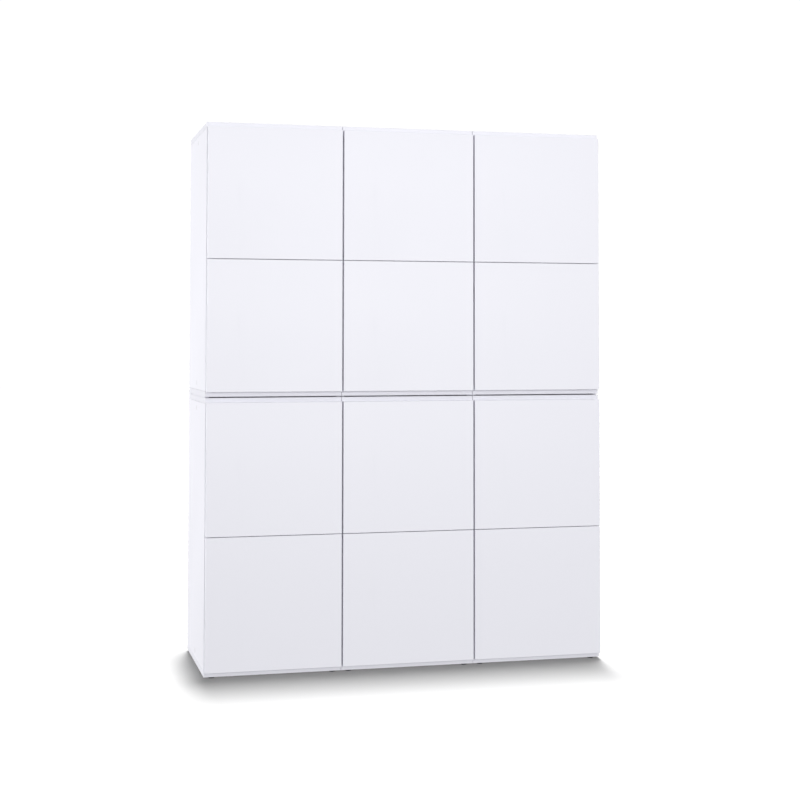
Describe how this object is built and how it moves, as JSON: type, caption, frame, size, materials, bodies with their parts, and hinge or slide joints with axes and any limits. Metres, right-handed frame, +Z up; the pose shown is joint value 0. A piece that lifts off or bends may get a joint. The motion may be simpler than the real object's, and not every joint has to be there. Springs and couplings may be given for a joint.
{
  "type": "parcel locker",
  "caption": "Modular parcel locker in white board, stacked modules side by side, each with two hinged plain doors and hidden latches.",
  "frame": {"origin": "centre of the footprint, on the floor under the feet", "axes": "+Z up, the doors face -Y, +X to the viewer's right when facing the doors"},
  "size_m": [1.2, 0.46, 1.6],
  "materials": {
    "board": "white melamine faced board, satin",
    "door": "white lacquered board, smooth satin",
    "back": "white thin board, matt",
    "steel": "bright zinc plated steel"
  },
  "bodies": {
    "carcass": {"left_lower_top_panel": "board", "left_lower_bottom_panel": "board", "left_lower_lock_side": "board", "left_lower_hinge_side": "board", "left_lower_shelf": "board", "left_lower_back_panel": "back", "left_upper_top_panel": "board", "left_upper_bottom_panel": "board", "left_upper_lock_side": "board", "left_upper_hinge_side": "board", "left_upper_shelf": "board", "left_upper_back_panel": "back", "middle_lower_top_panel": "board", "middle_lower_bottom_panel": "board", "middle_lower_lock_side": "board", "middle_lower_hinge_side": "board", "middle_lower_shelf": "board", "middle_lower_back_panel": "back", "middle_upper_top_panel": "board", "middle_upper_bottom_panel": "board", "middle_upper_lock_side": "board", "middle_upper_hinge_side": "board", "middle_upper_shelf": "board", "middle_upper_back_panel": "back", "right_lower_top_panel": "board", "right_lower_bottom_panel": "board", "right_lower_lock_side": "board", "right_lower_hinge_side": "board", "right_lower_shelf": "board", "right_lower_back_panel": "back", "right_upper_top_panel": "board", "right_upper_bottom_panel": "board", "right_upper_lock_side": "board", "right_upper_hinge_side": "board", "right_upper_shelf": "board", "right_upper_back_panel": "back"},
    "left_lower_bottom_door": {"left_lower_bottom_door": "door"},
    "left_lower_bottom_hook": {"left_lower_bottom_hook": "steel"},
    "left_lower_top_door": {"left_lower_top_door": "door"},
    "left_lower_top_hook": {"left_lower_top_hook": "steel"},
    "left_upper_bottom_door": {"left_upper_bottom_door": "door"},
    "left_upper_bottom_hook": {"left_upper_bottom_hook": "steel"},
    "left_upper_top_door": {"left_upper_top_door": "door"},
    "left_upper_top_hook": {"left_upper_top_hook": "steel"},
    "middle_lower_bottom_door": {"middle_lower_bottom_door": "door"},
    "middle_lower_bottom_hook": {"middle_lower_bottom_hook": "steel"},
    "middle_lower_top_door": {"middle_lower_top_door": "door"},
    "middle_lower_top_hook": {"middle_lower_top_hook": "steel"},
    "middle_upper_bottom_door": {"middle_upper_bottom_door": "door"},
    "middle_upper_bottom_hook": {"middle_upper_bottom_hook": "steel"},
    "middle_upper_top_door": {"middle_upper_top_door": "door"},
    "middle_upper_top_hook": {"middle_upper_top_hook": "steel"},
    "right_lower_bottom_door": {"right_lower_bottom_door": "door"},
    "right_lower_bottom_hook": {"right_lower_bottom_hook": "steel"},
    "right_lower_top_door": {"right_lower_top_door": "door"},
    "right_lower_top_hook": {"right_lower_top_hook": "steel"},
    "right_upper_bottom_door": {"right_upper_bottom_door": "door"},
    "right_upper_bottom_hook": {"right_upper_bottom_hook": "steel"},
    "right_upper_top_door": {"right_upper_top_door": "door"},
    "right_upper_top_hook": {"right_upper_top_hook": "steel"}
  },
  "joints": [
    {"name": "left_lower_bottom_door_hinge", "type": "hinge", "parent": "carcass", "child": "left_lower_bottom_door", "pos_m": [-0.2021, -0.23, 0.20947], "axis": [0, 0, 1], "range_deg": [0, 110]},
    {"name": "left_lower_bottom_hook_pivot", "type": "hinge", "parent": "carcass", "child": "left_lower_bottom_hook", "pos_m": [-0.5696, -0.179, 0.19748], "axis": [-1, 0, 0], "range_deg": [0, 32], "stiffness_Nm_per_rad": 0.02},
    {"name": "left_lower_top_door_hinge", "type": "hinge", "parent": "carcass", "child": "left_lower_top_door", "pos_m": [-0.2021, -0.23, 0.59503], "axis": [0, 0, 1], "range_deg": [0, 110]},
    {"name": "left_lower_top_hook_pivot", "type": "hinge", "parent": "carcass", "child": "left_lower_top_hook", "pos_m": [-0.5696, -0.179, 0.58303], "axis": [-1, 0, 0], "range_deg": [0, 32], "stiffness_Nm_per_rad": 0.02},
    {"name": "left_upper_bottom_door_hinge", "type": "hinge", "parent": "carcass", "child": "left_upper_bottom_door", "pos_m": [-0.2021, -0.23, 1.00897], "axis": [0, 0, 1], "range_deg": [0, 110]},
    {"name": "left_upper_bottom_hook_pivot", "type": "hinge", "parent": "carcass", "child": "left_upper_bottom_hook", "pos_m": [-0.5696, -0.179, 0.99697], "axis": [-1, 0, 0], "range_deg": [0, 32], "stiffness_Nm_per_rad": 0.02},
    {"name": "left_upper_top_door_hinge", "type": "hinge", "parent": "carcass", "child": "left_upper_top_door", "pos_m": [-0.2021, -0.23, 1.39453], "axis": [0, 0, 1], "range_deg": [0, 110]},
    {"name": "left_upper_top_hook_pivot", "type": "hinge", "parent": "carcass", "child": "left_upper_top_hook", "pos_m": [-0.5696, -0.179, 1.38253], "axis": [-1, 0, 0], "range_deg": [0, 32], "stiffness_Nm_per_rad": 0.02},
    {"name": "middle_lower_bottom_door_hinge", "type": "hinge", "parent": "carcass", "child": "middle_lower_bottom_door", "pos_m": [0.1979, -0.23, 0.20947], "axis": [0, 0, 1], "range_deg": [0, 110]},
    {"name": "middle_lower_bottom_hook_pivot", "type": "hinge", "parent": "carcass", "child": "middle_lower_bottom_hook", "pos_m": [-0.1696, -0.179, 0.19748], "axis": [-1, 0, 0], "range_deg": [0, 32], "stiffness_Nm_per_rad": 0.02},
    {"name": "middle_lower_top_door_hinge", "type": "hinge", "parent": "carcass", "child": "middle_lower_top_door", "pos_m": [0.1979, -0.23, 0.59503], "axis": [0, 0, 1], "range_deg": [0, 110]},
    {"name": "middle_lower_top_hook_pivot", "type": "hinge", "parent": "carcass", "child": "middle_lower_top_hook", "pos_m": [-0.1696, -0.179, 0.58303], "axis": [-1, 0, 0], "range_deg": [0, 32], "stiffness_Nm_per_rad": 0.02},
    {"name": "middle_upper_bottom_door_hinge", "type": "hinge", "parent": "carcass", "child": "middle_upper_bottom_door", "pos_m": [0.1979, -0.23, 1.00897], "axis": [0, 0, 1], "range_deg": [0, 110]},
    {"name": "middle_upper_bottom_hook_pivot", "type": "hinge", "parent": "carcass", "child": "middle_upper_bottom_hook", "pos_m": [-0.1696, -0.179, 0.99697], "axis": [-1, 0, 0], "range_deg": [0, 32], "stiffness_Nm_per_rad": 0.02},
    {"name": "middle_upper_top_door_hinge", "type": "hinge", "parent": "carcass", "child": "middle_upper_top_door", "pos_m": [0.1979, -0.23, 1.39453], "axis": [0, 0, 1], "range_deg": [0, 110]},
    {"name": "middle_upper_top_hook_pivot", "type": "hinge", "parent": "carcass", "child": "middle_upper_top_hook", "pos_m": [-0.1696, -0.179, 1.38253], "axis": [-1, 0, 0], "range_deg": [0, 32], "stiffness_Nm_per_rad": 0.02},
    {"name": "right_lower_bottom_door_hinge", "type": "hinge", "parent": "carcass", "child": "right_lower_bottom_door", "pos_m": [0.5979, -0.23, 0.20947], "axis": [0, 0, 1], "range_deg": [0, 110]},
    {"name": "right_lower_bottom_hook_pivot", "type": "hinge", "parent": "carcass", "child": "right_lower_bottom_hook", "pos_m": [0.2304, -0.179, 0.19748], "axis": [-1, 0, 0], "range_deg": [0, 32], "stiffness_Nm_per_rad": 0.02},
    {"name": "right_lower_top_door_hinge", "type": "hinge", "parent": "carcass", "child": "right_lower_top_door", "pos_m": [0.5979, -0.23, 0.59503], "axis": [0, 0, 1], "range_deg": [0, 110]},
    {"name": "right_lower_top_hook_pivot", "type": "hinge", "parent": "carcass", "child": "right_lower_top_hook", "pos_m": [0.2304, -0.179, 0.58303], "axis": [-1, 0, 0], "range_deg": [0, 32], "stiffness_Nm_per_rad": 0.02},
    {"name": "right_upper_bottom_door_hinge", "type": "hinge", "parent": "carcass", "child": "right_upper_bottom_door", "pos_m": [0.5979, -0.23, 1.00897], "axis": [0, 0, 1], "range_deg": [0, 110]},
    {"name": "right_upper_bottom_hook_pivot", "type": "hinge", "parent": "carcass", "child": "right_upper_bottom_hook", "pos_m": [0.2304, -0.179, 0.99697], "axis": [-1, 0, 0], "range_deg": [0, 32], "stiffness_Nm_per_rad": 0.02},
    {"name": "right_upper_top_door_hinge", "type": "hinge", "parent": "carcass", "child": "right_upper_top_door", "pos_m": [0.5979, -0.23, 1.39453], "axis": [0, 0, 1], "range_deg": [0, 110]},
    {"name": "right_upper_top_hook_pivot", "type": "hinge", "parent": "carcass", "child": "right_upper_top_hook", "pos_m": [0.2304, -0.179, 1.38253], "axis": [-1, 0, 0], "range_deg": [0, 32], "stiffness_Nm_per_rad": 0.02}
  ]
}
